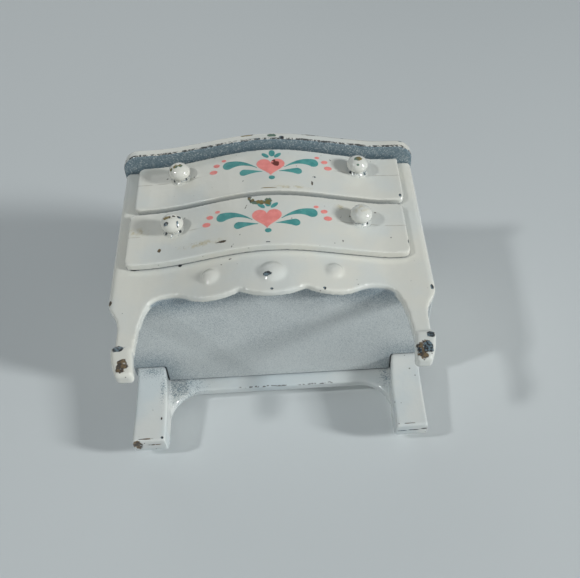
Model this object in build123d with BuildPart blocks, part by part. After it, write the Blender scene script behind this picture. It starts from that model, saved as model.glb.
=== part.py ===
from build123d import *
import os
from math import cos, pi

# A dolls' house chest of drawers in painted die-cast metal: a bow-fronted case on bracket
# feet, an overhanging top, a separate back casting with the rear legs, and two drawers.
# X points right as seen from the front, Y to the back, Z up.
# The origin is on the ground, at the centre of the chest's footprint box. Sizes are in mm.

# --- driving dimensions ---
LEG_HEIGHT = 13.6  # ground to the underside of the bottom panel
CASE_HEIGHT = 28.1  # underside of the bottom panel to the underside of the top
CASE_HALF = 24.5  # half the case's width
CASE_DEPTH = 23.65  # front corners of the case to the back face
TOP_HALF = 24.7
TOP_THICK = 2.0
TOP_OVERHANG = 3.5  # how far the top's front corners stand out from the case
TOP_BOW = 2.6  # how much further its middle stands out
FRONT_BOW = 3.1  # how far the middle of the case's front stands out from its corners
BOW_HALF = 21.0  # the bow runs between these distances from the middle

FACE_THICK = 2.4
LEG_THICK = 1.7  # the front legs are thinner than the face plate above them
APRON_THICK = 1.2  # and the apron between them is thinner still
APRON_HALF = 16.6
WALL = 1.3
PANEL_THICK = 1.2
BACK_THICK = 1.4
SEAM = 0.15  # gap between castings that meet without touching
ROOT_DEPTH = 1.0  # how far the rear legs' roots stand up into the bottom panel
FOOT_HEIGHT = 5.1
FOOT_PROUD = 0.3
FOOT_THICK = 2.4
FOOT_ROUND = 0.6
LEG_START = 1.0  # the leg plate stops this far above the ground, inside the foot

DRAWER_HALF = 21.9
DRAWER_HEIGHT = {"upper": 10.15, "lower": 10.9}
DRAWER_PROUD = 1.4  # front face of a drawer to the face frame
FACE_GAP = 0.1  # back of a drawer front to the face frame
DRAWER_RISE = {"upper": 17.45, "lower": 5.6}  # lower edge above the bottom panel's underside
FRONT_SHIFT = {"upper": 0.0, "lower": -0.5}  # how far off the middle a front and its knobs sit
FRONT_CORNER = 1.0
OPENING_HALF = 20.2
OPENING_RISE = 0.8  # the opening starts this far above a drawer front's lower edge
OPENING_HEIGHT = 8.0
TRAY_PLAY = 0.2
TRAY_WALL = 0.8
TRAY_REACH = 20.6  # back of the tray, from the case's front corners
SHELF_THICK = 0.7

KNOB_X = 14.7
KNOB_RISE = 6.4  # knob axis above a drawer front's lower edge
KNOB_STAND = 2.85  # how far a knob stands out of the drawer's face
SHANK_R = 0.8
NECK_R = 1.1
HEAD_DEPTH = 2.0  # end of the head to the neck
HEAD_R = 1.76
HEAD_RISE = 1.3  # height of a knob's domed end above its widest ring
TAIL_R = 1.3
TAIL_THICK = 0.5
SEAT_DEPTH = 0.6  # how deep the neck's seat is sunk in the drawer's face

REAR_LEG_FRONT = 18.1  # front face of the rear legs, from the case's front corners
RAIL_DROP = 2.2  # rear rail below the bottom panel
RIVET_R = 0.7
RIVET_HEAD_R = 1.3
RIVET_HEAD = 0.45
DOME_X = 9.05  # the two side domes on the apron

# --- derived places ---
FRONT = (TOP_OVERHANG + TOP_BOW - CASE_DEPTH) / 2
BACK = FRONT + CASE_DEPTH
PLATE_FRONT = BACK - BACK_THICK
CASE_BACK = PLATE_FRONT - SEAM
PANEL = LEG_HEIGHT
CASE_TOP = LEG_HEIGHT + CASE_HEIGHT
INNER_HALF = CASE_HALF - WALL
SHELF_FRONT = FRONT + FACE_THICK + 0.1
SHELF_TOP = {name: PANEL + rise + OPENING_RISE for name, rise in DRAWER_RISE.items()}
SIDES = (-1, 1)
NOTCH_INNER = 18.8  # inner edge of the notches that take the rear legs' roots
NOTCH_FRONT = FRONT + REAR_LEG_FRONT - SEAM
LUG_SIZE = 3.0
LUG_THICK = 1.2
LUG_PLACES = [
    (side * (INNER_HALF - LUG_SIZE / 2), y)
    for side in SIDES
    for y in (SHELF_FRONT + LUG_SIZE / 2, CASE_BACK - LUG_SIZE / 2)
]
BOSS_SIZE = 2.6
BOSS_DEPTH = 3.0
BOSS_PLACES = [
    (side * (INNER_HALF - BOSS_SIZE / 2), PANEL + rise) for side in SIDES for rise in (3.2, 24.9)
]

os.makedirs("parts", exist_ok=True)


def bow(x, depth=FRONT_BOW):
    """How far a bow front of this depth stands out at x."""
    return depth * (1 + cos(pi * min(abs(x) / BOW_HALF, 1))) / 2


def bow_plan(y_front, y_back, half, depth=FRONT_BOW, corner=0.0):
    """Plan shape with a bow front and a straight back."""
    steps = 8
    places = [BOW_HALF * (2 * step / steps - 1) for step in range(steps + 1)]
    beyond = TOP_HALF + 1
    with BuildSketch() as plan:
        with BuildLine():
            front = Spline(
                *[(x, y_front - bow(x, depth)) for x in places], tangents=[(1, 0), (1, 0)]
            )
            Polyline(
                front @ 1,
                (beyond, y_front),
                (beyond, y_back),
                (-beyond, y_back),
                (-beyond, y_front),
                front @ 0,
            )
        make_face()
        Rectangle(2 * half, 2 * (CASE_DEPTH + TOP_BOW), mode=Mode.INTERSECT)
        if corner:
            ends = [v for v in plan.vertices() if abs(v.X) > half - 0.01 and v.Y < y_front + 0.01]
            fillet(ends, corner)
    return plan.sketch


def bow_band(y_front, thickness, half, corner=0.0):
    """Plan shape of a plate that follows the bow, of even thickness along Y."""
    with BuildSketch() as band:
        add(bow_plan(y_front, BACK, half, corner=corner))
        add(bow_plan(y_front + thickness, BACK + 1, half + 0.5), mode=Mode.SUBTRACT)
    return band.sketch


def facing(y):
    """Upright plane at y, facing the front: extrusions from it run to the front."""
    return Plane.XZ.offset(-y)


def dome(x, z, radius, height):
    """Raised button on the apron, rooted in the face plate."""
    with BuildPart() as piece:
        with BuildSketch(Plane(origin=(x, FRONT - bow(x), z))):
            with BuildLine():
                cap = TangentArc((0, -height), (radius, 0), tangent=(1, 0))
                Polyline(cap @ 1, (radius, FACE_THICK / 2), (0, FACE_THICK / 2), cap @ 0)
            make_face()
        revolve(axis=Axis((x, FRONT, z), (0, 1, 0)))
    return piece.part


# --- front foot: a rounded block, a little proud of the leg above it ---
with BuildPart() as front_foot:
    with BuildSketch(facing(FRONT - FOOT_PROUD)):
        with BuildLine():
            outer = ThreePointArc((23.1, FOOT_HEIGHT), (22.8, 2.6), (21.9, 0))
            Polyline(outer @ 1, (19.5, 0), (20.1, FOOT_HEIGHT), outer @ 0)
        make_face()
    extrude(amount=-FOOT_THICK)
    fillet(front_foot.edges(), FOOT_ROUND)

# --- case: face frame, apron, front legs, sides and bottom panel in one casting ---
with BuildPart() as cabinet_shell:
    with BuildSketch(Plane.XY.offset(LEG_START)):
        add(bow_band(FRONT, LEG_THICK, CASE_HALF, corner=FRONT_CORNER))
    extrude(amount=PANEL - LEG_START)
    with BuildSketch(Plane.XY.offset(PANEL)):
        add(bow_band(FRONT, FACE_THICK, CASE_HALF, corner=FRONT_CORNER))
    extrude(amount=CASE_HEIGHT)
    with BuildSketch(Plane.XZ) as face_outline:
        with BuildLine():
            centre_lobe = TangentArc((0, PANEL - 2.4), (4.85, PANEL - 0.9), tangent=(1, 0))
            side_lobe = ThreePointArc(centre_lobe @ 1, (8.9, PANEL - 1.8), (12.6, PANEL - 0.8))
            arch = Spline(
                side_lobe @ 1,
                (15.2, PANEL + 0.1),
                (18.3, PANEL - 0.8),
                (19.4, PANEL - 4.0),
                (19.9, PANEL - 9.0),
                tangents=[side_lobe % 1, (0.05, -1)],
            )
            ankle = Polyline(
                arch @ 1, (21.8, PANEL - 10.5), (22.5, PANEL - 8.0), (22.5, PANEL - 6.2)
            )
            knee = Spline(
                ankle @ 1,
                (23.1, PANEL - 3.2),
                (CASE_HALF, PANEL + 0.4),
                tangents=[(0, 1), (0, 1)],
            )
            Polyline(knee @ 1, (CASE_HALF, CASE_TOP), (0, CASE_TOP))
            mirror(about=Plane.YZ)
        make_face()
        cusps = [v for v in face_outline.vertices() if 4 < abs(v.X) < 6]
        fillet(cusps, 0.8)
    extrude(amount=CASE_DEPTH, both=True, mode=Mode.INTERSECT)
    # body behind the face plate, then hollowed out, open at the top and the back
    with BuildSketch(Plane.XY.offset(PANEL)):
        add(bow_plan(FRONT + 1, CASE_BACK, CASE_HALF))
    extrude(amount=CASE_HEIGHT)
    with BuildSketch(Plane.XY.offset(PANEL + PANEL_THICK)):
        add(bow_plan(FRONT + FACE_THICK, BACK + 1, INNER_HALF))
    extrude(amount=CASE_HEIGHT, mode=Mode.SUBTRACT)
    # the apron is cut thinner from behind
    with BuildSketch(Plane.XY.offset(PANEL)):
        add(bow_plan(FRONT + APRON_THICK, FRONT + 2 * FACE_THICK, APRON_HALF))
    extrude(amount=-PANEL, mode=Mode.SUBTRACT)
    # openings for the drawers
    for rise in DRAWER_RISE.values():
        with BuildSketch(facing(FRONT + FACE_THICK)):
            with Locations((0, PANEL + rise + OPENING_RISE + OPENING_HEIGHT / 2)):
                RectangleRounded(2 * OPENING_HALF, OPENING_HEIGHT, 0.4)
        extrude(amount=2 * FACE_THICK + FRONT_BOW, mode=Mode.SUBTRACT)
    # ledges that carry the two shelves
    with BuildSketch(facing(CASE_BACK)):
        for shelf_top in SHELF_TOP.values():
            for side in SIDES:
                with Locations((side * (INNER_HALF - 0.45), shelf_top - SHELF_THICK - 0.4)):
                    Rectangle(0.9, 0.8)
    extrude(amount=CASE_BACK - SHELF_FRONT)
    # corner lugs for the top's rivets
    with BuildSketch(Plane.XY.offset(CASE_TOP - LUG_THICK)):
        with Locations(*LUG_PLACES):
            Rectangle(LUG_SIZE, LUG_SIZE)
    extrude(amount=LUG_THICK)
    with BuildSketch(Plane.XY.offset(CASE_TOP - LUG_THICK)):
        with Locations(*LUG_PLACES):
            Circle(RIVET_R)
    extrude(amount=LUG_THICK, mode=Mode.SUBTRACT)
    # bosses behind the corners for the back's rivets
    with BuildSketch(facing(CASE_BACK)):
        with Locations(*BOSS_PLACES):
            Rectangle(BOSS_SIZE, BOSS_SIZE)
            Circle(RIVET_R, mode=Mode.SUBTRACT)
    extrude(amount=BOSS_DEPTH)
    # notches in the bottom panel for the roots of the rear legs
    with BuildSketch(Plane.XY.offset(PANEL)):
        for side in SIDES:
            with Locations((side * (NOTCH_INNER + CASE_HALF) / 2, (NOTCH_FRONT + CASE_BACK) / 2)):
                Rectangle(CASE_HALF - NOTCH_INNER, CASE_BACK - NOTCH_FRONT)
    extrude(amount=PANEL_THICK, mode=Mode.SUBTRACT)
    add(front_foot.part)
    add(mirror(front_foot.part, about=Plane.YZ, mode=Mode.PRIVATE))
    add(dome(0, PANEL + 1.5, 2.0, 0.8))
    for side in SIDES:
        add(dome(side * DOME_X, PANEL + 2.15, 1.5, 0.55))
cabinet_shell.part.label = "cabinet_shell"
export_step(cabinet_shell.part, "parts/cabinet_shell.step")

# --- top: an overhanging slab with a bow front, riveted on from inside the case ---
with BuildPart() as top_slab:
    with BuildSketch(Plane.XY.offset(CASE_TOP)):
        add(bow_plan(FRONT - TOP_OVERHANG, BACK, TOP_HALF, depth=TOP_BOW, corner=3.0))
    extrude(amount=TOP_THICK)
    fillet(top_slab.faces().sort_by(Axis.Z)[-1].edges(), 0.6)
    fillet(top_slab.faces().sort_by(Axis.Z)[0].edges(), 0.15)
    with BuildSketch(Plane.XY.offset(CASE_TOP)):
        with Locations(*LUG_PLACES):
            Circle(RIVET_R)
    extrude(amount=TOP_THICK / 2, mode=Mode.SUBTRACT)
top_slab.part.label = "top_slab"
export_step(top_slab.part, "parts/top_slab.step")

with BuildPart() as top_rivets:
    with BuildSketch(Plane.XY.offset(CASE_TOP - LUG_THICK)):
        with Locations(*LUG_PLACES):
            Circle(RIVET_R)
    extrude(amount=LUG_THICK + TOP_THICK / 2)
    with BuildSketch(Plane.XY.offset(CASE_TOP - LUG_THICK)):
        with Locations(*LUG_PLACES):
            Circle(RIVET_HEAD_R)
    extrude(amount=-RIVET_HEAD)
top_rivets.part.label = "top_rivets"
export_step(top_rivets.part, "parts/top_rivets.step")

# --- back: a plate with an arched rail and the two rear legs in front of it ---
with BuildPart() as back_frame:
    with BuildSketch(facing(BACK)):
        with BuildLine():
            outer = Spline(
                (23.2, 0), (23.2, PANEL - 7.5), (23.6, PANEL), tangents=[(0, 1), (0.15, 1)]
            )
            root = Polyline(outer @ 1, (23.6, PANEL + ROOT_DEPTH), (19.1, PANEL + ROOT_DEPTH))
            inner = Spline(
                root @ 1, (18.3, PANEL - 5.5), (18.15, 0), tangents=[(-0.2, -1), (0, -1)]
            )
            Line(inner @ 1, outer @ 0)
        make_face()
        mirror(about=Plane.YZ)
    extrude(amount=CASE_DEPTH - REAR_LEG_FRONT)
    # the legs thin out towards soles that are round behind
    with BuildSketch(Plane.YZ):
        with BuildLine():
            leg_front = FRONT + REAR_LEG_FRONT
            sole = Line((leg_front, 0), (leg_front + 2.3, 0))
            heel = TangentArc(sole @ 1, (leg_front + 4.5, 2.4), tangent=(1, 0))
            Polyline(
                heel @ 1,
                (BACK, PANEL - 1.0),
                (BACK, PANEL + ROOT_DEPTH),
                (leg_front, PANEL + ROOT_DEPTH),
                sole @ 0,
            )
        make_face()
    extrude(amount=CASE_HALF, both=True, mode=Mode.INTERSECT)
    front_edges = back_frame.edges().filter_by(Axis.Y, reverse=True).group_by(Axis.Y)[0]
    fillet(front_edges, 0.3)
    with BuildSketch(facing(BACK)) as back_outline:
        with BuildLine():
            rail = Line((0, PANEL - RAIL_DROP), (13.2, PANEL - RAIL_DROP))
            arch = TangentArc(rail @ 1, (18.3, PANEL - 8.0), tangent=(1, 0))
            Polyline(
                arch @ 1,
                (19.5, PANEL - 8.0),
                (19.5, PANEL - 0.3),
                (CASE_HALF, PANEL + ROOT_DEPTH),
                (CASE_HALF, CASE_TOP),
                (0, CASE_TOP),
            )
            mirror(about=Plane.YZ)
        make_face()
    extrude(amount=BACK_THICK)
    with BuildSketch(facing(BACK)):
        with Locations(*BOSS_PLACES):
            Circle(RIVET_R)
    extrude(amount=BACK_THICK, mode=Mode.SUBTRACT)
back_frame.part.label = "back_frame"
export_step(back_frame.part, "parts/back_frame.step")

with BuildPart() as back_rivets:
    with BuildSketch(facing(BACK)):
        with Locations(*BOSS_PLACES):
            Circle(RIVET_R)
    extrude(amount=BACK_THICK + SEAM + BOSS_DEPTH)
    with BuildSketch(facing(BACK)):
        with Locations(*BOSS_PLACES):
            Circle(RIVET_HEAD_R)
    extrude(amount=-RIVET_HEAD)
    fillet(back_rivets.edges().group_by(Axis.Y)[-1], 0.3)
back_rivets.part.label = "back_rivets"
export_step(back_rivets.part, "parts/back_rivets.step")


def make_shelf(name, shelf_top):
    """Thin plate that a drawer slides on, resting on the case's ledges."""
    with BuildPart() as shelf:
        with BuildSketch(Plane.XY.offset(shelf_top - SHELF_THICK)):
            add(bow_plan(SHELF_FRONT, CASE_BACK - 0.1, INNER_HALF - 0.1))
        extrude(amount=SHELF_THICK)
    shelf.part.label = f"{name}_shelf"
    export_step(shelf.part, f"parts/{name}_shelf.step")


def make_drawer(name, rise):
    """A drawer: its bow front, the tray behind it and two knobs that hold the two together."""
    bottom = PANEL + rise
    height = DRAWER_HEIGHT[name]
    middle = FRONT_SHIFT[name]
    knob_z = bottom + KNOB_RISE
    knob_places = [(middle + side * KNOB_X, knob_z) for side in SIDES]
    face_front = FRONT - DRAWER_PROUD
    face_back = FRONT - FACE_GAP
    with BuildPart() as front:
        with BuildSketch(Plane.XY.offset(bottom)):
            add(bow_band(face_front, face_back - face_front, DRAWER_HALF + abs(middle)))
        extrude(amount=height)
        with BuildSketch(facing(FRONT)):
            with Locations((middle, bottom + height / 2)):
                RectangleRounded(2 * DRAWER_HALF, height, FRONT_CORNER)
        extrude(amount=2 * DRAWER_PROUD + FRONT_BOW, mode=Mode.INTERSECT)
        with BuildSketch(facing(FRONT)):
            with Locations(*knob_places):
                Circle(SHANK_R)
        extrude(amount=2 * DRAWER_PROUD + FRONT_BOW, mode=Mode.SUBTRACT)
        for x, z in knob_places:
            with BuildSketch(facing(face_front - bow(x) + SEAT_DEPTH)):
                with Locations((x, z)):
                    Circle(NECK_R)
            extrude(amount=2 * DRAWER_PROUD, mode=Mode.SUBTRACT)
    front.part.label = f"{name}_drawer_front"
    export_step(front.part, f"parts/{name}_drawer_front.step")

    tray_half = OPENING_HALF - TRAY_PLAY
    tray_bottom = bottom + OPENING_RISE + TRAY_PLAY / 2
    tray_height = OPENING_HEIGHT - 1.5 * TRAY_PLAY
    with BuildPart() as tray:
        with BuildSketch(Plane.XY.offset(tray_bottom)):
            add(bow_plan(face_back, FRONT + TRAY_REACH, tray_half))
        extrude(amount=tray_height)
        with BuildSketch(Plane.XY.offset(tray_bottom + TRAY_WALL)):
            inner_back = FRONT + TRAY_REACH - TRAY_WALL
            add(bow_plan(face_back + TRAY_WALL, inner_back, tray_half - TRAY_WALL))
        extrude(amount=tray_height, mode=Mode.SUBTRACT)
        with BuildSketch(facing(FRONT + 1)):
            with Locations(*knob_places):
                Circle(SHANK_R)
        extrude(amount=2 * FRONT_BOW, mode=Mode.SUBTRACT)
    tray.part.label = f"{name}_drawer_tray"
    export_step(tray.part, f"parts/{name}_drawer_tray.step")

    for (x, z), hand in zip(knob_places, ("left", "right")):
        make_knob(f"{name}_{hand}_knob", x, z, face_front, face_back)


def make_knob(label, x, z, face_front, face_back):
    """A turned knob whose shank runs through front and tray and is peened over inside."""
    seat = face_front - bow(x) + SEAT_DEPTH
    tail = face_back - bow(abs(x) + TAIL_R) + TRAY_WALL - seat
    end = -SEAT_DEPTH - KNOB_STAND
    with BuildPart() as knob:
        with BuildSketch(Plane(origin=(x, seat, z))):
            with BuildLine():
                shank = Polyline(
                    (0, tail + TAIL_THICK),
                    (TAIL_R, tail + TAIL_THICK),
                    (TAIL_R, tail),
                    (SHANK_R, tail),
                    (SHANK_R, 0),
                    (NECK_R, 0),
                    (NECK_R, end + HEAD_DEPTH),
                )
                under = Spline(shank @ 1, (HEAD_R, end + HEAD_RISE), tangents=[(1, -0.15), (0, -1)])
                crown = EllipticalCenterArc(
                    (0, end + HEAD_RISE), HEAD_R, HEAD_RISE, start_angle=270, arc_size=90
                )
                Line(crown @ 0, shank @ 0)
            make_face()
        revolve(axis=Axis((x, seat, z), (0, 1, 0)))
    knob.part.label = label
    export_step(knob.part, f"parts/{label}.step")


for name, rise in DRAWER_RISE.items():
    make_shelf(name, SHELF_TOP[name])
    make_drawer(name, rise)
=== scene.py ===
import math

import bmesh
import bpy
from mathutils import Matrix, Vector


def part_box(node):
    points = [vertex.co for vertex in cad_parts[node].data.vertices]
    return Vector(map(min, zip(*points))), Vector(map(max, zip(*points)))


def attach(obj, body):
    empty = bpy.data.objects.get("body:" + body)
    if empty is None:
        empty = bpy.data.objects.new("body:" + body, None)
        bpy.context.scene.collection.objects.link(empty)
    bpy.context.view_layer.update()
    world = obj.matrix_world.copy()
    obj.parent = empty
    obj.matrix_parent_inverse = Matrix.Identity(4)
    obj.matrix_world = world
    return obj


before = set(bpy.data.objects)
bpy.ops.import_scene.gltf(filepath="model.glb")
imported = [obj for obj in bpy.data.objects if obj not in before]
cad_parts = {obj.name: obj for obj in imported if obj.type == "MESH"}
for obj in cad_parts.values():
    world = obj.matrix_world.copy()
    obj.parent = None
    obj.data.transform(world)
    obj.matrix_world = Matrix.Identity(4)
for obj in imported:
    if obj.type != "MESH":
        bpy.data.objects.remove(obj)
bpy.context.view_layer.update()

# A dolls' house chest of drawers: white enamel on die-cast zinc, chipped and stained, with
# hearts and leaves printed on its two drawer fronts. The looks are built round the packed
# castings. Lengths are in millimetres up to the point where Blender needs metres.

MM = 0.001
SIDES = (-1, 1)
DRAWERS = ("upper", "lower")

# --- the chest's own sizes ---
FRONT_BOW = 3.1  # how far the middle of the bow front stands out from its corners
BOW_HALF = 21.0  # from the middle to where the bow runs out
TOP_BOW = 2.6  # the same on the slab
LEG_HEIGHT = 13.6  # ground to the underside of the bottom panel
HEAD_RISE = 1.3  # height of a knob's domed end above its widest ring
SLAB_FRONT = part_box("top_slab")[0].y / MM + TOP_BOW
SLAB_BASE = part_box("top_slab")[0].z / MM
FACE_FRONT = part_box("upper_drawer_front")[0].y / MM + FRONT_BOW
CASE_FRONT = FACE_FRONT + 1.4  # the drawer fronts stand this proud of the case
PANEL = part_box("cabinet_shell")[0].z / MM + LEG_HEIGHT
BACK_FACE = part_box("back_frame")[1].y / MM
PLATE_FRONT = BACK_FACE - 1.4  # the back plate's inner face
LEG_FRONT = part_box("back_frame")[0].y / MM
KNOBS = [f"{drawer}_{hand}" for drawer in DRAWERS for hand in ("left", "right")]
KNOB_AT = {knob: sum(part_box(f"{knob}_knob"), Vector()) / 2 / MM for knob in KNOBS}
HEAD_FRONT = {knob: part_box(f"{knob}_knob")[0].y / MM for knob in KNOBS}
HEAD_RADIUS = (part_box("upper_left_knob")[1].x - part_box("upper_left_knob")[0].x) / 2 / MM

# --- where each drawer's print is centred, across and up ---
PRINT_PLACE = {"upper": (0.3, 36.6), "lower": (-0.5, 24.7)}


def bow(x, depth=FRONT_BOW):
    """How far a bow front of this depth stands out at x."""
    return depth * (1 + math.cos(math.pi * min(abs(x) / BOW_HALF, 1))) / 2


def drawer_face(x):
    """Where a drawer's front face lies at x."""
    return FACE_FRONT - bow(x)


def on_drawer(x, z):
    return (x, drawer_face(x), z)


def on_case(x, z):
    return (x, CASE_FRONT - bow(x), z)


def on_slab(x, z):
    return (x, SLAB_FRONT - bow(x, TOP_BOW), z)


def linear(red, green, blue):
    """A colour given as 0 to 255 display values, as the linear numbers that shaders take."""
    return tuple((c / 255) ** 2.2 for c in (red, green, blue)) + (1,)


# --- colours ---
WARM_WHITE = linear(222, 220, 210)
COOL_WHITE = linear(215, 217, 212)
# the back frame's enamel whites, darker and bluer than the case's
BACK_WHITES = (linear(213, 214, 210), linear(201, 208, 209))
THIN_PAINT = linear(166, 180, 188)
BLUE_GREY = linear(110, 127, 138)
BARE_ZINC = linear(102, 122, 132)
DARK_CHIP = linear(38, 40, 44)
OVERSPRAY = linear(208, 212, 211)
RUST = linear(108, 88, 58)
DARK_RUST = linear(56, 46, 38)
OLIVE_STAIN = linear(124, 106, 50)
GREEN_STAIN = linear(84, 112, 96)
HEART_RUST = linear(84, 38, 28)
YELLOW_DIRT = linear(196, 184, 148)
HAIRLINE = linear(168, 156, 140)
# painted shadow for the deepest creases and seams
SEAM_SHADOW = linear(64, 76, 88)
SALMON = linear(246, 150, 143)
SALMON_DARK = linear(236, 138, 132)
TEAL = linear(90, 160, 156)
TEAL_DARK = linear(74, 144, 142)
SHEET = linear(168, 173, 178)
SHEET_DARK = linear(128, 134, 141)
STEEL = linear(140, 142, 146)
FLOOR = linear(207, 211, 212)


# --- noise: cells to a millimetre, detail, roughness, and a shift that sets each one apart ---
NOISES = {
    "cloud": (0.12, 3.0, 0.5, 0.0),
    "peel": (0.55, 2.0, 0.5, 7.0),
    "grain": (6.0, 2.0, 0.5, 3.0),
    "specks": (1.3, 1.0, 0.5, 21.0),
    "line_wander": (0.3, 3.0, 0.5, 5.0),
    "line_gaps": (0.35, 2.0, 0.5, 11.0),
    "panel_powder": (11.0, 2.0, 0.6, 2.0),
    "panel_drift": (0.1, 1.0, 0.5, 13.0),
    "band_edge": (1.5, 4.0, 0.7, 4.0),
    "band_powder": (4.2, 3.0, 0.8, 2.0),
    "rim_gaps": (1.5, 4.0, 0.7, 31.0),
    "dots": (4.5, 3.0, 0.7, 8.0),
    "tick_wander": (0.8, 2.0, 0.5, 27.0),
    "tick_gaps": (2.4, 2.0, 0.5, 23.0),
    "dirt_cloud": (1.1, 4.0, 0.7, 14.0),
    "dirt_specks": (2.6, 3.0, 0.7, 19.0),
    "stain_edge": (1.6, 4.0, 0.6, 15.0),
    "stain_brown": (1.5, 2.0, 0.5, 0.0),
    "stain_green": (0.6, 2.0, 0.5, 41.0),
    "rust_edge": (1.4, 4.0, 0.6, 16.0),
    "rust_tone": (1.9, 3.0, 0.5, 6.0),
    "rust_flecks": (1.5, 2.0, 0.5, 37.0),
    "chip_edge": (1.8, 4.0, 0.6, 17.0),
    "chip_tone": (2.2, 2.0, 0.5, 6.0),
    "ink_mottle": (0.9, 3.0, 0.5, 0.0),
    "ink_stipple": (7.0, 2.0, 0.6, 3.0),
    "ink_stain_edge": (1.9, 4.0, 0.6, 15.0),
    "metal_bloom": (0.25, 4.0, 0.6, 0.0),
    "sheet_streak": (1.5, 3.0, 0.6, 4.0),
    "steel_streak": (3.0, 3.0, 0.6, 4.0),
}
ALONG_THE_SHEET = (1, 0.15, 1)  # stretches the streaks of rolled metal from front to back
SPOT_DEPTH = 1.6  # a spot reaches this many times its larger half size into the part
FAR_OFF = 10.0  # further off than any place counts

# --- the surface: gloss, how deep each layer's bump is in mm, and how rough bare spots are ---
ENAMEL_COAT = 0.45
COAT_ROUGHNESS = 0.06
DEPTHS = {
    "peel": 0.05,
    "grain": 0.004,
    "line": 0.03,
    "panel": 0.03,
    "band_edge": 0.06,
    "band_powder": 0.05,
    "rust": 0.05,
    "chip": 0.09,
    "ink": 0.01,
    "metal_streak": 0.01,
    "metal_bloom": 0.02,
}
DULLNESS = {"panel": 0.6, "band": 0.65, "rust": 0.7, "chip": 0.5}
EDGE_REACH = 0.3  # mm from an edge over which paint is thin
CREASE_REACH = 1.6  # mm over which a crease shelters its walls
METALLIC = 0.55  # the bare sheet and the rivets are dull with oxide


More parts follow.
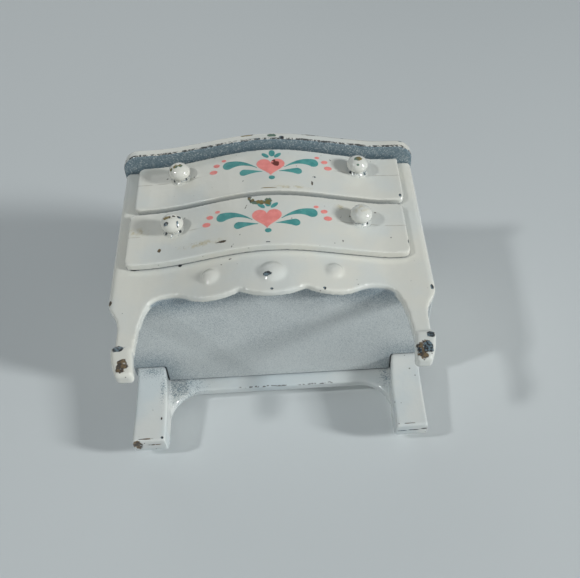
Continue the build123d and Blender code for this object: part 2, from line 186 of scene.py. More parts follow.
class Shade:
    """One material's nodes, with short calls for adding them. Places are in millimetres."""

    def __init__(self, name, coat=0.0):
        self.material = bpy.data.materials.new(name)
        self.material.use_nodes = True
        self.tree = self.material.node_tree
        self.surface = self.tree.nodes["Principled BSDF"]
        self.surface.inputs["Coat Weight"].default_value = coat
        self.surface.inputs["Coat Roughness"].default_value = COAT_ROUGHNESS
        self.place = self.vector("SCALE", self.node("ShaderNodeTexCoord").outputs["Object"])
        self.place.node.inputs["Scale"].default_value = 1 / MM
        self.across, self.deep, self.up = self.parts(self.place)
        normal = self.node("ShaderNodeNewGeometry").outputs["Normal"]
        _, self.normal_deep, self.normal_up = self.parts(normal)

    def node(self, kind, **settings):
        made = self.tree.nodes.new(kind)
        for key, value in settings.items():
            setattr(made, key, value)
        return made

    def give(self, socket, value):
        """Links value to the socket, or sets it if it's a plain number or colour."""
        if isinstance(value, bpy.types.NodeSocket):
            self.tree.links.new(value, socket)
        else:
            socket.default_value = value

    def parts(self, vector):
        split = self.node("ShaderNodeSeparateXYZ")
        self.give(split.inputs[0], vector)
        return split.outputs

    def vector(self, operation, first, second=None):
        made = self.node("ShaderNodeVectorMath", operation=operation)
        self.give(made.inputs[0], first)
        if second is not None:
            self.give(made.inputs[1], second)
        return made.outputs["Value" if operation == "LENGTH" else "Vector"]

    def math(self, operation, first, second=0.0):
        made = self.node("ShaderNodeMath", operation=operation)
        self.give(made.inputs[0], first)
        self.give(made.inputs[1], second)
        return made.outputs[0]

    def step(self, value, low, high):
        """0 below low, 1 above high, and smooth between. low may be above high."""
        made = self.node("ShaderNodeMapRange", interpolation_type="SMOOTHSTEP")
        self.give(made.inputs["Value"], value)
        if low > high:
            low, high = high, low
            made.inputs["To Min"].default_value = 1
            made.inputs["To Max"].default_value = 0
        made.inputs["From Min"].default_value = low
        made.inputs["From Max"].default_value = high
        return made.outputs["Result"]

    def noise(self, name, stretch=(1, 1, 1)):
        """Cloudy noise from 0 to 1, as NOISES sets it."""
        per_mm, detail, roughness, shift = NOISES[name]
        made = self.node("ShaderNodeTexNoise")
        stretched = self.vector("MULTIPLY", self.place, stretch)
        self.give(made.inputs["Vector"], self.vector("ADD", stretched, (shift, shift, shift)))
        made.inputs["Scale"].default_value = per_mm
        made.inputs["Detail"].default_value = detail
        made.inputs["Roughness"].default_value = roughness
        return made.outputs["Fac"]

    def product(self, *factors):
        """Masks and numbers multiplied together. The first is a mask."""
        result = factors[0]
        for factor in factors[1:]:
            result = self.math("MULTIPLY", result, factor)
        return result

    def off(self, value, middle):
        """How far the value is from the middle, either way."""
        return self.math("ABSOLUTE", self.math("SUBTRACT", value, middle))

    def mix(self, amount, below, above):
        """The colour above laid over the colour below, where amount is 1."""
        made = self.node("ShaderNodeMix", data_type="RGBA")
        # the node has sockets for numbers and vectors too, and these are the colours'
        amount_in, _, _, _, _, _, below_in, above_in = made.inputs[:8]
        self.give(amount_in, amount)
        self.give(below_in, below)
        self.give(above_in, above)
        return made.outputs[2]

    def nearest(self, places):
        """How far off the nearest place is, where 1 is that place's own rim. A place is a
        centre, a half width and a half height, and may add its own half depth."""
        nearest = FAR_OFF
        for centre, wide, high, *own_depth in places:
            offset = self.vector("SUBTRACT", self.place, centre)
            depth = own_depth[0] if own_depth else SPOT_DEPTH * max(wide, high)
            scaled = self.vector("MULTIPLY", offset, (1 / wide, 1 / depth, 1 / high))
            nearest = self.math("MINIMUM", nearest, self.vector("LENGTH", scaled))
        return nearest

    def spots(self, places, edge, ragged):
        """Mask of spots whose edges are frayed by a noise, this much of their half size."""
        frayed = self.product(self.math("SUBTRACT", self.noise(edge), 0.5), 2 * ragged)
        return self.step(self.math("ADD", self.nearest(places), frayed), 1.0, 0.85)

    def edges(self, radius):
        """How sharply the surface turns within the radius, from 0 on a flat face."""
        rounded = self.node("ShaderNodeBevel", samples=4)
        rounded.inputs["Radius"].default_value = radius * MM
        straight = self.node("ShaderNodeNewGeometry").outputs["Normal"]
        dot = self.node("ShaderNodeVectorMath", operation="DOT_PRODUCT")
        self.give(dot.inputs[0], rounded.outputs[0])
        self.give(dot.inputs[1], straight)
        return self.math("SUBTRACT", 1.0, dot.outputs["Value"])

    def creases(self, reach):
        """1 deep in a crease, 0 out in the open: the mask for painted shade in the creases."""
        crease_shade = self.node("ShaderNodeAmbientOcclusion", samples=6)
        crease_shade.inputs["Distance"].default_value = reach * MM
        return self.math("SUBTRACT", 1.0, crease_shade.outputs["AO"])

    def finish(self, colour, roughness, heights):
        """Connects the colour, the roughness and the bumps, each a height and its depth in mm."""
        normal = None
        for height, depth in heights:
            bump = self.node("ShaderNodeBump")
            bump.inputs["Distance"].default_value = depth * MM
            self.give(bump.inputs["Height"], height)
            if normal is not None:
                self.give(bump.inputs["Normal"], normal)
            normal = bump.outputs["Normal"]
        self.give(self.surface.inputs["Normal"], normal)
        self.give(self.surface.inputs["Base Color"], colour)
        self.give(self.surface.inputs["Roughness"], roughness)
        return self.material


class Enamel(Shade):
    """Thick white enamel over zinc, with painted shade in its creases. Its wear, and any further
    painted shade, is laid on in the order of the calls.
    """

    def __init__(self, name, whites=(WARM_WHITE, COOL_WHITE)):
        super().__init__(name, coat=ENAMEL_COAT)
        cloud = self.noise("cloud")
        self.colour = self.mix(self.step(cloud, 0.35, 0.65), *whites)
        self.roughness = self.math("ADD", self.product(cloud, 0.1), 0.11)
        self.heights = [(self.noise(layer), DEPTHS[layer]) for layer in ("peel", "grain")]

        # paint is thin along the edges; the creases are darkened blue-grey, partly thin paint and
        # partly painted shade, and the deepest creases and seams get painted shadow
        patchy = self.step(cloud, 0.4, 0.7)
        worn = self.product(self.step(self.edges(EDGE_REACH), 0.02, 0.14), patchy)
        self.cover(worn, THIN_PAINT, 0.3)
        crease_shade = self.creases(CREASE_REACH)
        self.cover(self.step(crease_shade, 0.35, 0.9), BLUE_GREY, 0.6)
        self.cover(self.step(crease_shade, 0.75, 0.98), SEAM_SHADOW)
        self.cover(self.step(self.noise("specks"), 0.765, 0.785), DARK_RUST, 0.7)

    def cover(self, mask, colour, strength=1.0):
        """Lays a colour over what is there, this strongly where the mask is 1."""
        self.colour = self.mix(self.product(mask, strength), self.colour, colour)

    def dull(self, mask, layer):
        """Makes the surface at least as rough as DULLNESS says where the mask is 1."""
        rough = self.product(mask, DULLNESS[layer])
        self.roughness = self.math("MAXIMUM", self.roughness, rough)

    def sink(self, mask, layer):
        """Sinks the surface where the mask is 1."""
        self.heights.append((self.math("SUBTRACT", 1.0, mask), DEPTHS[layer]))

    def die_line(self, height):
        """The faint line of the die at this height on a drawer's front, wandering and broken,
        and gone near the middle."""
        wandering = self.math("ADD", self.up, self.product(self.noise("line_wander"), 0.35))
        groove = self.product(
            self.step(self.off(wandering, height + 0.17), 0.09, 0.03),
            self.step(self.normal_deep, -0.6, -0.8),
            self.step(self.noise("line_gaps"), 0.38, 0.52),
            self.step(self.math("ABSOLUTE", self.across), 9.5, 12.0),
        )
        self.cover(groove, HAIRLINE, 0.45)
        self.sink(groove, "line")

    def bottom_panel(self, height):
        """Overspray on the panel at this height, darker and bluer along its front and in its rear
        corners."""
        wave = self.math("COSINE", self.product(self.across, math.pi / BOW_HALF))
        behind = self.math("ADD", self.deep, self.product(wave, FRONT_BOW / 2))
        face = CASE_FRONT - FRONT_BOW / 2
        panel = self.product(
            self.step(self.normal_up, -0.35, -0.75),
            self.step(behind, face + 0.5, face + 1.0),
            self.step(self.up, height - 1.2, height - 0.6),
        )
        powder = self.noise("panel_powder")
        spray = self.math("ADD", powder, self.product(self.noise("panel_drift"), 0.14))
        corner = self.step(self.math("ABSOLUTE", self.across), 13.0, 21.0)
        rear_corner = self.product(corner, self.step(self.deep, 2.0, 10.0))
        front = self.step(behind, CASE_FRONT + 5.0, CASE_FRONT)
        # darker and bluer along the panel's front and in its rear corners
        thin = self.product(self.math("ADD", rear_corner, front), 0.2)
        spray = self.math("SUBTRACT", spray, thin)
        self.cover(panel, self.mix(self.step(spray, 0.26, 0.64), BLUE_GREY, OVERSPRAY))
        self.dull(panel, "panel")
        self.heights.append((self.product(powder, panel), DEPTHS["panel"]))

    def bare_band(self):
        """Leaves the slab's underside nearly bare, with a ragged dark rim along its lip."""
        ragged = self.math("SUBTRACT", self.noise("band_edge"), 0.5)
        turn = self.math("ADD", self.normal_up, self.product(ragged, 0.9))
        bare = self.step(turn, -0.5, -0.62)
        powder = self.noise("band_powder")
        self.cover(bare, self.mix(self.step(powder, 0.49, 0.72), BARE_ZINC, OVERSPRAY))
        above_rim = self.math("SUBTRACT", self.up, SLAB_BASE + 0.28)
        above_rim = self.math("ADD", above_rim, self.product(ragged, 0.5))
        rim = self.product(
            self.step(self.math("ABSOLUTE", above_rim), 0.24, 0.14),
            self.step(self.normal_up, -0.96, -0.86),
            self.step(self.noise("rim_gaps"), 0.42, 0.54),
        )
        self.cover(rim, DARK_CHIP, 0.9)
        self.dull(bare, "band")
        self.sink(bare, "band_edge")
        self.heights.append((self.product(powder, bare), DEPTHS["band_powder"]))

    def shade_veil(self, places):
        """An even veil of painted shade, in the thin blue-grey paint's colour."""
        self.cover(self.step(self.nearest(places), 1.3, 0.6), THIN_PAINT, 0.32)

    def dots(self, places):
        """Fine blue-grey spray dots that thin out away from each place."""
        fade = self.product(self.nearest(places), 0.13)
        dots = self.step(self.math("SUBTRACT", self.noise("dots"), fade), 0.42, 0.5)
        self.cover(dots, BLUE_GREY, 0.75)

    def ticks(self, rows):
        """Short dark marks in rows. Each row is (across, up, half length)."""
        for across, up, half in rows:
            wandering = self.math("ADD", self.up, self.product(self.noise("tick_wander"), 0.5))
            marks = self.product(
                self.step(self.off(self.across, across), half, half - 1),
                self.step(self.off(wandering, up + 0.25), 0.14, 0.06),
                self.step(self.noise("tick_gaps"), 0.5, 0.56),
                self.step(self.normal_deep, -0.3, -0.5),
            )
            self.cover(marks, DARK_RUST, 0.8)

    def dirt(self, places):
        """Soft yellow dirt with rusty specks in it."""
        patch = self.step(self.nearest(places), 1.3, 0.2)
        cloudy = self.step(self.noise("dirt_cloud"), 0.42, 0.66)
        self.cover(self.product(patch, cloudy), YELLOW_DIRT, 0.75)
        specks = self.step(self.noise("dirt_specks"), 0.63, 0.68)
        self.cover(self.product(patch, specks), RUST, 0.7)

    def stains(self, places):
        """Ragged stains of brown, olive and green."""
        brown = self.step(self.noise("stain_brown"), 0.36, 0.5)
        green = self.step(self.noise("stain_green"), 0.5, 0.6)
        tone = self.mix(green, self.mix(brown, DARK_RUST, OLIVE_STAIN), GREEN_STAIN)
        self.cover(self.spots(places, "stain_edge", ragged=0.8), tone, 0.92)

    def rust(self, places):
        """Rusty patches where the paint has gone, with flecks of it left."""
        patch = self.spots(places, "rust_edge", ragged=0.9)
        tone = self.mix(self.step(self.noise("rust_tone"), 0.42, 0.56), RUST, DARK_RUST)
        flecks = self.step(self.noise("rust_flecks"), 0.58, 0.66)
        self.cover(patch, self.mix(self.product(flecks, 0.7), tone, OVERSPRAY), 0.96)
        self.dull(patch, "rust")
        self.sink(patch, "rust")

    def chips(self, places):
        """Chips down to the dark metal."""
        patch = self.spots(places, "chip_edge", ragged=0.65)
        bright = self.step(self.noise("chip_tone"), 0.44, 0.62)
        self.cover(patch, self.mix(bright, DARK_CHIP, BARE_ZINC), 0.97)
        self.dull(patch, "chip")
        self.sink(patch, "chip")

    def finished(self):
        return self.finish(self.colour, self.roughness, self.heights)


def ink(name, light, dark, stains, stain_colour):
    """Printed ink on the enamel, slightly mottled, with a fine stipple, and stained in places."""
    shade = Shade(name)
    mottle = shade.noise("ink_mottle")
    colour = shade.mix(shade.step(mottle, 0.35, 0.65), light, dark)
    stipple = shade.noise("ink_stipple")
    pale = shade.product(shade.step(stipple, 0.6, 0.75), 0.25)
    colour = shade.mix(pale, colour, COOL_WHITE)
    patch = shade.spots(stains, "ink_stain_edge", ragged=0.9)
    colour = shade.mix(shade.product(patch, 0.9), colour, stain_colour)
    roughness = shade.math("ADD", shade.product(mottle, 0.2), 0.24)
    return shade.finish(colour, roughness, [(stipple, DEPTHS["ink"])])


def bare_metal(name, light, dark, streaks):
    """Zinc sheet or steel, dull and finely streaked, with darker blooms."""
    shade = Shade(name)
    bloom = shade.noise("metal_bloom")
    colour = shade.mix(shade.step(bloom, 0.38, 0.62), light, dark)
    streak = shade.noise(streaks, ALONG_THE_SHEET)
    colour = shade.mix(shade.product(shade.step(streak, 0.5, 0.7), 0.3), colour, dark)
    shade.surface.inputs["Metallic"].default_value = METALLIC
    roughness = shade.math("ADD", shade.product(bloom, 0.3), 0.28)
    heights = [(streak, DEPTHS["metal_streak"]), (bloom, DEPTHS["metal_bloom"])]
    return shade.finish(colour, roughness, heights)


# --- fitting materials, rounded edges and extra pieces to the CAD nodes ---
SAME_PLACE = 0.002  # mm; corners of a CAD mesh nearer than this are one
SLIVER = 0.004  # mm; faces narrower than this are closed up
SHARP = 40  # degrees; the sheet's edges sharper than this are rounded


def dress(node, material):
    """Gives a CAD node its material."""
    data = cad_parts[node].data
    data.materials.clear()
    data.materials.append(material)


def soften(node, voxel, rounds):
    """Rounds a casting's edges and creases all over, as thick enamel on die-cast metal is."""
    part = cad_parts[node]
    weld = part.modifiers.new("weld", "WELD")
    weld.merge_threshold = SAME_PLACE * MM
    skin = part.modifiers.new("skin", "REMESH")
    skin.mode = "VOXEL"
    skin.voxel_size = voxel * MM
    skin.use_smooth_shade = True
    smooth = part.modifiers.new("smooth", "SMOOTH")
    smooth.factor = 0.5
    smooth.iterations = rounds


def round_edges(node, width):
    """Narrow rounded edges for thin sheet and small fasteners."""
    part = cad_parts[node]
    weld = part.modifiers.new("weld", "WELD")
    weld.merge_threshold = SAME_PLACE * MM
    edge = part.modifiers.new("edge", "BEVEL")
    edge.width = width * MM
    edge.segments = 2
    edge.limit_method = "ANGLE"
    edge.angle_limit = math.radians(SHARP)
    seal = part.modifiers.new("seal", "WELD")
    seal.merge_threshold = SLIVER * MM


def new_piece(name, mesh_maker, material, body):
    """A piece of its own mesh, made in millimetres, that rides on a CAD body."""
    shape = bmesh.new()
    mesh_maker(shape)
    bmesh.ops.scale(shape, vec=(MM, MM, MM), verts=shape.verts)
    bmesh.ops.recalc_face_normals(shape, faces=shape.faces)
    data = bpy.data.meshes.new(name)
    shape.to_mesh(data)
    shape.free()
    data.materials.append(material)
    piece = bpy.data.objects.new(name, data)
    bpy.context.scene.collection.objects.link(piece)
    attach(piece, body)
    return piece


# --- the print: outlines are lists of (across, up) from the print's centre ---
HEART_WIDE, HEART_TALL = 4.6, 4.1
LEAVES = [  # tip, bend, blob's centre, blob's radius
    ((2.25, 0.05), (4.7, 2.1), (6.95, 1.55), 0.95),
    ((1.35, -0.95), (2.9, -0.75), (4.35, -0.8), 0.75),
]
CROWN = [  # centre, half length, half width, turn in degrees
    ((0.25, 3.45), 0.78, 0.5, 90),
    ((-0.85, 2.95), 0.75, 0.36, 135),
    ((1.2, 2.95), 0.75, 0.36, 45),
]
TAIL = ((0.15, -2.5), 0.5, 0.44, 0)
DOTS = [((7.75, 2.95), 0.4, 0.28, 10), ((8.95, 2.05), 0.56, 0.4, 20), ((9.45, 0.6), 0.66, 0.46, 10)]
INK_LIFT = 0.02
INK_THICK = 0.08
# how many short lines make up each outline
HEART_STEPS, OVAL_STEPS, LEAF_STEPS, CAP_STEPS, RING_STEPS = 72, 28, 20, 12, 48
TIP_HALF = 0.04  # half the width of a leaf's fine tip
CUT_EVERY = 0.3  # the print is cut this finely across, so that it follows the bow


def heart_outline():
    """The usual heart curve, which is 32 wide and 29 tall, scaled and brought to its middle."""
    points = []
    for step in range(HEART_STEPS):
        t = 2 * math.pi * step / HEART_STEPS
        across = 16 * math.sin(t) ** 3
        up = 13 * math.cos(t) - 5 * math.cos(2 * t) - 2 * math.cos(3 * t) - math.cos(4 * t)
        points.append((across * HEART_WIDE / 32, (up + 2.5) * HEART_TALL / 29))
    return points


def oval_outline(centre, long, wide, turn):
    """An oval of these half sizes, turned by this many degrees."""
    lean = math.radians(turn)
    points = []
    for step in range(OVAL_STEPS):
        t = 2 * math.pi * step / OVAL_STEPS
        a, b = long * math.cos(t), wide * math.sin(t)
        across = centre[0] + a * math.cos(lean) - b * math.sin(lean)
        up = centre[1] + a * math.sin(lean) + b * math.cos(lean)
        points.append((across, up))
    return points


def leaf_outline(tip, bend, blob, radius, side):
    """A stroke that starts as a fine tip, swells along its bend and ends in a round blob."""
    tip, bend, blob = (Vector(p) for p in (tip, bend, blob))
    one_side, other_side = [], []
    for step in range(LEAF_STEPS + 1):
        t = step / LEAF_STEPS
        middle = (1 - t) ** 2 * tip + 2 * t * (1 - t) * bend + t * t * blob
        along = (2 * (1 - t) * (bend - tip) + 2 * t * (blob - bend)).normalized()
        off = Vector((-along.y, along.x)) * (TIP_HALF + (radius - TIP_HALF) * t**1.25)
        one_side.append(middle + off)
        other_side.append(middle - off)
    end = math.atan2(along.y, along.x)
    cap = [
        blob + radius * Vector((math.cos(end + a), math.sin(end + a)))
        for a in (math.pi / 2 - math.pi * k / CAP_STEPS for k in range(1, CAP_STEPS))
    ]
    outline = one_side + cap + other_side[::-1]
    return [(side * p.x, p.y) for p in outline]


def printed(outlines, place):
    """A mesh maker for thin ink in these outlines, wrapped on the bow of a drawer's face."""

    def make(shape):
        for outline in outlines:
            corners = [shape.verts.new((place[0] + a, 0, place[1] + u)) for a, u in outline]
            shape.faces.new(corners)
        reach = int(BOW_HALF / CUT_EVERY)
        for cut in range(-reach, reach + 1):
            everything = shape.verts[:] + shape.edges[:] + shape.faces[:]
            where = (cut * CUT_EVERY, 0, 0)
            bmesh.ops.bisect_plane(shape, geom=everything, plane_co=where, plane_no=(1, 0, 0))
        bmesh.ops.remove_doubles(shape, verts=shape.verts, dist=SLIVER)
        bmesh.ops.dissolve_degenerate(shape, edges=shape.edges, dist=SLIVER)
        for corner in shape.verts:
            corner.co.y = drawer_face(corner.co.x) - INK_LIFT
        back = bmesh.ops.extrude_face_region(shape, geom=shape.faces[:], use_keep_orig=True)
        for corner in (v for v in back["geom"] if isinstance(v, bmesh.types.BMVert)):
            corner.co.y += INK_THICK

    return make


def add_print(drawer, stains, stain_colour):
    place = PRINT_PLACE[drawer]
    pink = [heart_outline()]
    teal = [oval_outline(*drop) for drop in CROWN] + [oval_outline(*TAIL)]
    for side in SIDES:
        teal += [leaf_outline(*leaf, side) for leaf in LEAVES]
        for (across, up), long, wide, turn in DOTS:
            pink.append(oval_outline((side * across, up), long, wide, side * turn))
    salmon = ink(f"{drawer}_salmon_ink", SALMON, SALMON_DARK, stains, stain_colour)
    green = ink(f"{drawer}_teal_ink", TEAL, TEAL_DARK, stains, stain_colour)
    body = f"{drawer}_drawer"
    new_piece(f"{drawer}_pink_print", printed(pink, place), salmon, body)
    new_piece(f"{drawer}_teal_print", printed(teal, place), green, body)


# --- paint that has pooled round each knob's neck ---
COLLAR = [
    (0.95, 0.42),
    (1.12, 0.42),
    (1.2, 0.24),
    (1.36, 0.1),
    (1.56, 0.03),
    (1.78, -0.03),
    (1.78, -0.4),
    (0.95, -0.4),
]


def collar(middle):
    """A mesh maker for the fillet of paint: COLLAR is (radius, height over the face)."""

    def make(shape):
        rings = []
        for radius, height in COLLAR:
            ring = []
            for step in range(RING_STEPS):
                t = 2 * math.pi * step / RING_STEPS
                across = middle.x + radius * math.cos(t)
                up = middle.z + radius * math.sin(t)
                ring.append(shape.verts.new((across, drawer_face(across) - height, up)))
            rings.append(ring)
        for near, far in zip(rings, rings[1:] + rings[:1]):
            for step in range(RING_STEPS):
                after = (step + 1) % RING_STEPS
                face = shape.faces.new((near[step], near[after], far[after], far[step]))
                face.smooth = True

    return make


# --- wear, place by place: centre, half width, half height, and for some a half depth ---
def on_head(knob, across, up):
    """A place on a knob's domed head, from the knob's axis."""
    inward = 1 - math.sqrt(1 - (across**2 + up**2) / HEAD_RADIUS**2)
    middle = KNOB_AT[knob]
    return (middle.x + across, HEAD_FRONT[knob] + HEAD_RISE * inward, middle.z + up)


CASE_CHIPS = [
    (on_case(-0.6, 14.25), 0.76, 0.44),
    (on_case(7.6, 12.2), 0.3, 0.25),
    (on_case(-0.1, 11.8), 0.2, 0.2),
    (on_case(23.9, 13.3), 0.35, 0.5),
    (on_case(-22.0, 4.6), 0.85, 0.65),
    (on_case(-23.1, 5.0), 0.4, 0.4),
    (on_case(22.2, 4.2), 0.7, 0.6),
    (on_case(21.6, 2.0), 0.75, 1.1),
    (on_case(20.3, 1.5), 0.4, 0.6),
    (on_case(-20.9, 19.6), 0.75, 0.35),
    (on_case(-14.0, 19.2), 0.3, 0.3),
]
CASE_RUST = [
    (on_case(-21.1, 1.6), 0.85, 1.2),
    (on_case(20.9, 1.9), 1.1, 1.3),
    (on_case(20.7, 0.7), 0.8, 0.6),
    (on_case(-24.1, 13.3), 0.3, 0.45),
]
SLAB_CHIPS = [
    (on_slab(2.3, 42.3), 0.42, 0.4),
    (on_slab(-1.6, 42.0), 0.35, 0.2),
    (on_slab(-12.2, 43.5), 0.35, 0.2),
    (on_slab(22.6, 43.2), 0.45, 0.13),
    (on_slab(23.6, 42.9), 0.22, 0.3),
    (on_slab(24.1, 42.3), 0.2, 0.4),
    (on_slab(12.5, 43.4), 0.3, 0.2),
]
SLAB_RUST = [
    (on_slab(7.4, 43.4), 1.1, 0.3),
    (on_slab(-7.0, 43.7), 0.5, 0.25),
    (on_slab(5.6, 43.6), 0.5, 0.2),
    (on_slab(24.2, 41.9), 0.6, 0.5),
]
SLAB_STAINS = [(on_slab(0.7, 42.8), 0.8, 0.4), (on_slab(-3.4, 43.2), 1.3, 0.3)]
LEG_CHIPS = [
    ((-18.6, LEG_FRONT, 0.5), 0.22, 0.22),
    ((19.2, LEG_FRONT + 1.6, 0.0), 1.0, 0.2, 0.14),
    ((20.9, LEG_FRONT + 1.5, 0.0), 1.1, 0.2, 0.16),
    ((22.6, LEG_FRONT + 1.3, 0.1), 0.6, 0.3, 0.2),
    ((18.4, LEG_FRONT, 4.4), 0.13, 0.13),
    ((22.4, LEG_FRONT, 9.3), 0.1, 0.1),
]
LEG_TICKS = [  # rough flash along the rail's lower edge: across, up, half length
    (6.0, 11.5, 3.4),
    (-3.0, 11.5, 4.5),
]
LEG_RUST = [
    ((-22.5, LEG_FRONT + 0.9, 0.0), 0.8, 0.4),
    ((-21.2, LEG_FRONT, 0.4), 1.3, 0.1, 0.3),
    ((-20.0, LEG_FRONT + 1.2, 0.0), 1.2, 0.3, 0.16),
    ((-18.9, LEG_FRONT, 3.9), 0.16, 0.28),
    ((20.2, LEG_FRONT, 0.4), 0.9, 0.07, 0.3),
]
LEG_DOTS = [
    ((-21.0, LEG_FRONT, 12.9), 2.4, 1.2),
    ((-19.0, LEG_FRONT, 9.6), 0.5, 2.6),
    ((-16.9, PLATE_FRONT, 12.2), 3.4, 3.0),
    ((18.0, PLATE_FRONT, 12.0), 0.9, 2.0),
]
# painted shade over the rail, which lies under the bottom panel
RAIL_SHADE = [((0.0, PLATE_FRONT, 12.6), 19.0, 2.4, 4.0)]
DRAWER_CHIPS = {
    "upper": [(on_drawer(21.3, 31.9), 0.2, 0.42), (on_drawer(7.4, 34.7), 0.2, 0.18)],
    "lower": [(on_drawer(21.4, 21.5), 0.2, 0.5), (on_drawer(-0.4, 19.8), 0.45, 0.12)],
}
DRAWER_RUST = {
    "upper": [(on_drawer(6.9, 33.1), 0.16, 0.5)],
    "lower": [(on_drawer(-17.2, 21.7), 0.25, 0.4), (on_drawer(-7.5, 21.1), 0.8, 0.28)],
}
DRAWER_STAINS = {
    "upper": [(on_drawer(-0.1, 31.7), 1.3, 0.1)],
    "lower": [
        (on_drawer(-3.2, 29.8), 0.3, 0.8),
        (on_drawer(-2.8, 28.9), 0.5, 0.5),
        (on_drawer(-2.0, 28.5), 0.8, 0.5),
        (on_drawer(-1.1, 28.4), 0.9, 0.5),
        (on_drawer(-0.3, 28.6), 0.65, 0.75),
    ],
}
DRAWER_DIRT = {
    "upper": [(on_drawer(3.0, 31.9), 4.0, 0.4)],
    "lower": [
        (on_drawer(-20.9, 26.0), 1.9, 1.1),
        (on_drawer(-10.5, 21.5), 3.8, 0.7),
        (on_drawer(11.1, 28.3), 0.8, 0.6),
    ],
}
HEART_WEAR = [
    (on_drawer(1.2, 37.5), 0.6, 0.66),
    (on_drawer(0.8, 38.25), 0.36, 0.2),
    (on_drawer(0.6, 37.6), 0.25, 0.16),
]
PRINT_STAINS = {"upper": (HEART_WEAR, HEART_RUST), "lower": (DRAWER_STAINS["lower"], OLIVE_STAIN)}
KNOB_CHIPS = {
    "lower_left": [
        (on_head("lower_left", -0.8, -1.0), 0.42, 0.3),
        (on_head("lower_left", 1.2, 0.35), 0.34, 0.3),
        (on_head("lower_left", 1.0, -0.95), 0.15, 0.5),
    ],
}
KNOB_STAINS = {
    "upper_left": [
        (on_head("upper_left", -0.45, -0.1), 0.45, 0.4),
        (on_head("upper_left", 0.35, 0.0), 0.4, 0.4),
        (on_head("upper_left", -1.2, -0.5), 0.25, 0.3),
    ],
    "upper_right": [
        (on_head("upper_right", 0.0, -0.05), 0.7, 0.45),
        (on_head("upper_right", -0.1, -1.2), 0.25, 0.18),
    ],
    "lower_left": [
        (on_head("lower_left", -0.6, 0.1), 0.75, 0.4),
        (on_head("lower_left", 0.4, 0.3), 0.35, 0.2),
    ],
}
KNOB_DIRT = {
    "lower_right": [(on_head("lower_right", 0.0, 0.0), 1.2, 1.1)],
    "lower_left": [(on_head("lower_left", -0.2, 0.3), 1.2, 0.8)],
    "upper_left": [(on_head("upper_left", -0.6, 0.3), 1.0, 0.7)],
}
COLLAR_DUST = 1.5  # half size of the dusting round each neck
COLLAR_CHIP_SIZE = (0.22, 0.3)
COLLAR_CHIP_LIFT = 0.2  # these chips lie this far out from the drawer's face
COLLAR_CHIP_DROP = 0.6  # and this far below the knob's axis
COLLAR_CHIPS = {  # how far across from the axis each one is
    "upper_left": (-0.9, 0.95),
    "upper_right": (-1.25, 1.2),
    "lower_left": (-1.1, 1.1),
    "lower_right": (0.9,),
}

# --- softening: voxel size in mm and rounds of smoothing ---
SOFTNESS = {
    "cabinet_shell": (0.2, 6),
    "back_frame": (0.2, 6),
    "top_slab": (0.2, 4),
    "drawer_front": (0.15, 8),
    "knob": (0.1, 4),
}

# --- width in mm of the narrow rounded edges on sheet and studs ---
EDGE_WIDTHS = {"back_rivets": 0.08, "drawer_tray": 0.12, "shelf": 0.1}

LINE_DROP = 0.62  # the die line on a drawer front runs this far below its knobs' axes

bare_sheet = bare_metal("bare_sheet", SHEET, SHEET_DARK, "sheet_streak")
rivet_steel = bare_metal("rivet_steel", STEEL, SHEET_DARK, "steel_streak")


def dress_case():
    for node in ("cabinet_shell", "back_frame", "top_slab"):
        soften(node, *SOFTNESS[node])

    case = Enamel("case_enamel")
    case.bottom_panel(PANEL)
    case.rust(CASE_RUST)
    case.chips(CASE_CHIPS)
    dress("cabinet_shell", case.finished())

    back = Enamel("back_enamel", BACK_WHITES)
    back.shade_veil(RAIL_SHADE)
    back.dots(LEG_DOTS)
    back.ticks(LEG_TICKS)
    back.rust(LEG_RUST)
    back.chips(LEG_CHIPS)
    dress("back_frame", back.finished())

    slab = Enamel("top_enamel")
    slab.bare_band()
    slab.stains(SLAB_STAINS)
    slab.rust(SLAB_RUST)
    slab.chips(SLAB_CHIPS)
    dress("top_slab", slab.finished())

    dress("top_rivets", rivet_steel)
    dress("back_rivets", rivet_steel)
    round_edges("back_rivets", EDGE_WIDTHS["back_rivets"])


def dress_drawer(drawer):
    soften(f"{drawer}_drawer_front", *SOFTNESS["drawer_front"])
    front = Enamel(f"{drawer}_front_enamel")
    front.die_line(KNOB_AT[f"{drawer}_left"].z - LINE_DROP)
    front.dirt(DRAWER_DIRT[drawer])
    front.stains(DRAWER_STAINS[drawer])
    front.rust(DRAWER_RUST[drawer])
    front.chips(DRAWER_CHIPS[drawer])
    dress(f"{drawer}_drawer_front", front.finished())
    for part in ("drawer_tray", "shelf"):
        dress(f"{drawer}_{part}", bare_sheet)
        round_edges(f"{drawer}_{part}", EDGE_WIDTHS[part])
    add_print(drawer, *PRINT_STAINS[drawer])


def dress_knob(knob):
    soften(f"{knob}_knob", *SOFTNESS["knob"])
    head = Enamel(f"{knob}_knob_enamel")
    if knob in KNOB_DIRT:
        head.dirt(KNOB_DIRT[knob])
    if knob in KNOB_STAINS:
        head.stains(KNOB_STAINS[knob])
    if knob in KNOB_CHIPS:
        head.chips(KNOB_CHIPS[knob])
    dress(f"{knob}_knob", head.finished())

    middle = KNOB_AT[knob]
    chips = []
    for across in COLLAR_CHIPS[knob]:
        x = middle.x + across
        place = (x, drawer_face(x) - COLLAR_CHIP_LIFT, middle.z - COLLAR_CHIP_DROP)
        chips.append((place, *COLLAR_CHIP_SIZE))
    ring = Enamel(f"{knob}_collar_enamel")
    ring.dots([((middle.x, drawer_face(middle.x), middle.z), COLLAR_DUST, COLLAR_DUST)])
    ring.chips(chips)
    body = knob.split("_")[0] + "_drawer"
    new_piece(f"{knob}_knob_collar", collar(middle), ring.finished(), body)


dress_case()
for drawer_name in DRAWERS:
    dress_drawer(drawer_name)
for knob_name in KNOBS:
    dress_knob(knob_name)


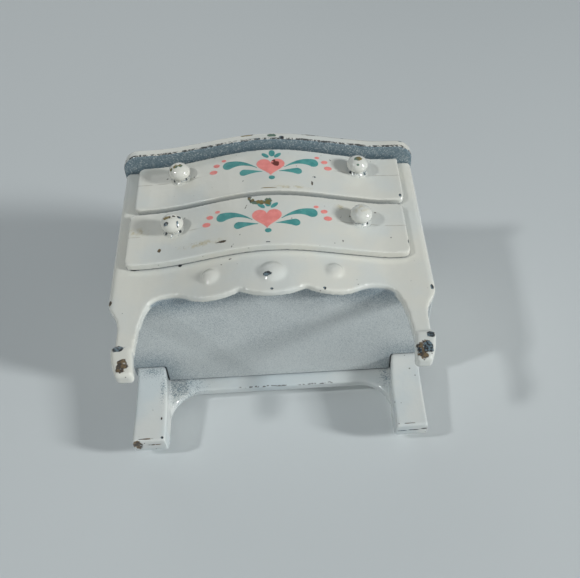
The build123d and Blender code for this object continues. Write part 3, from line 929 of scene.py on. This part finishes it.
# --- camera, at the photograph's viewing angle: from low in front, looking up ---
CAMERA_PLACE = (2.96, -95.53, -58.66)
CAMERA_AIM = (9.40, -3.95, 15.46)
CAMERA_ROLL = -5.48  # degrees
LENS = 46.8  # millimetres, on a sensor this wide
SENSOR = 36
SHIFT = (-0.0776, 0.019)
CLIP = (0.002, 20)  # metres


def add_camera():
    data = bpy.data.cameras.new("camera")
    data.lens = LENS
    data.sensor_width = SENSOR
    data.shift_x, data.shift_y = SHIFT
    data.clip_start, data.clip_end = CLIP
    camera = bpy.data.objects.new("camera", data)
    bpy.context.scene.collection.objects.link(camera)
    look = Vector(CAMERA_AIM) - Vector(CAMERA_PLACE)
    roll = Matrix.Rotation(math.radians(CAMERA_ROLL), 3, "Z")
    turn = look.to_track_quat("-Z", "Y").to_matrix() @ roll
    camera.matrix_world = Matrix.Translation(Vector(CAMERA_PLACE) * MM) @ turn.to_4x4()
    bpy.context.scene.camera = camera


# --- stage: the chest lies back against a pale sheet, and there is a floor under its feet ---
SHEET_LEAN = 8.0  # degrees that the sheet behind leans away at the top
SHEET_GAP = 0.6  # mm from the chest's back to the sheet, at the ground
FLOOR_DROP = 0.02  # mm from the feet to the floor
STAGE_SIZE = 1.2  # metres
STAGE_ROUGHNESS = 0.55


def stage_material(name):
    """Pale matt plastic, seen from its front only, so that it hides nothing from behind."""
    shade = Shade(name)
    shade.surface.inputs["Base Color"].default_value = FLOOR
    shade.surface.inputs["Roughness"].default_value = STAGE_ROUGHNESS
    output = shade.tree.nodes["Material Output"]
    clear = shade.node("ShaderNodeBsdfTransparent")
    choose = shade.node("ShaderNodeMixShader")
    backfacing = shade.node("ShaderNodeNewGeometry").outputs["Backfacing"]
    shade.give(choose.inputs[0], backfacing)
    shade.give(choose.inputs[1], shade.surface.outputs[0])
    shade.give(choose.inputs[2], clear.outputs[0])
    shade.give(output.inputs["Surface"], choose.outputs[0])
    return shade.material


def add_stage(name, place, lean, material):
    """A big flat sheet whose front faces up before it is leaned over, in degrees about X."""
    data = bpy.data.meshes.new(name)
    half = STAGE_SIZE / 2
    corners = [(-half, -half, 0), (half, -half, 0), (half, half, 0), (-half, half, 0)]
    data.from_pydata(corners, [], [(0, 1, 2, 3)])
    data.materials.append(material)
    sheet = bpy.data.objects.new(name, data)
    sheet.location = Vector(place) * MM
    sheet.rotation_euler = (math.radians(lean), 0, 0)
    sheet.visible_shadow = False
    bpy.context.scene.collection.objects.link(sheet)
    return sheet


# --- lights ---
LIGHT_FAR = 0.8  # metres from the middle of the chest
CHEST_MIDDLE = 20  # mm up
LIGHTS = {  # where each light stands as seen from the chest, its width and height, its watts
    "left": ((-0.62, -0.78, -0.25), 0.06, 0.06, 1.6),
    "right": ((1.85, -1.0, -0.66), 0.15, 0.1, 4.5),
    "front": ((0.0, -1.0, -0.9), 0.8, 0.8, 0.75),
    "above": ((-0.6, -0.5, 2.0), 0.6, 0.6, 0.8),
    "behind": ((0.8, 2.0, 1.2), 0.6, 0.6, 2.0),
}
LIGHT_COLOUR = (0.97, 1.0, 1.0)
AMBIENT = (0.78, 0.89, 0.96, 1)
AMBIENT_STRENGTH = 0.15
SEEN_SKY = linear(186, 195, 198)


def add_lights():
    for name, (direction, width, height, watts) in LIGHTS.items():
        data = bpy.data.lights.new(name, "AREA")
        data.shape = "RECTANGLE"
        data.size = width
        data.size_y = height
        data.energy = watts
        data.color = LIGHT_COLOUR
        light = bpy.data.objects.new(name, data)
        away = Vector(direction).normalized()
        light.location = away * LIGHT_FAR + Vector((0, 0, CHEST_MIDDLE * MM))
        light.rotation_euler = away.to_track_quat("Z", "Y").to_euler()
        bpy.context.scene.collection.objects.link(light)


def add_world():
    """Soft even light from all round, and a paler sky where the camera looks past the stage."""
    world = bpy.data.worlds.new("studio")
    world.use_nodes = True
    tree = world.node_tree
    fill = tree.nodes["Background"]
    fill.inputs["Color"].default_value = AMBIENT
    fill.inputs["Strength"].default_value = AMBIENT_STRENGTH
    sky = tree.nodes.new("ShaderNodeBackground")
    sky.inputs["Color"].default_value = SEEN_SKY
    seen = tree.nodes.new("ShaderNodeLightPath").outputs["Is Camera Ray"]
    choose = tree.nodes.new("ShaderNodeMixShader")
    tree.links.new(seen, choose.inputs[0])
    tree.links.new(fill.outputs[0], choose.inputs[1])
    tree.links.new(sky.outputs[0], choose.inputs[2])
    tree.links.new(choose.outputs[0], tree.nodes["World Output"].inputs["Surface"])
    bpy.context.scene.world = world


add_camera()
pale_plastic = stage_material("pale_plastic")
add_stage("sheet_behind", (0, BACK_FACE + SHEET_GAP, 0), 90 - SHEET_LEAN, pale_plastic)
floor = add_stage("floor", (0, 0, -FLOOR_DROP), 0, pale_plastic)
# the camera and the light both come up through the floor, so it must not shade the underside
floor.visible_diffuse = False
floor.visible_glossy = False
add_lights()
add_world()
bpy.context.scene.view_settings.view_transform = "Standard"
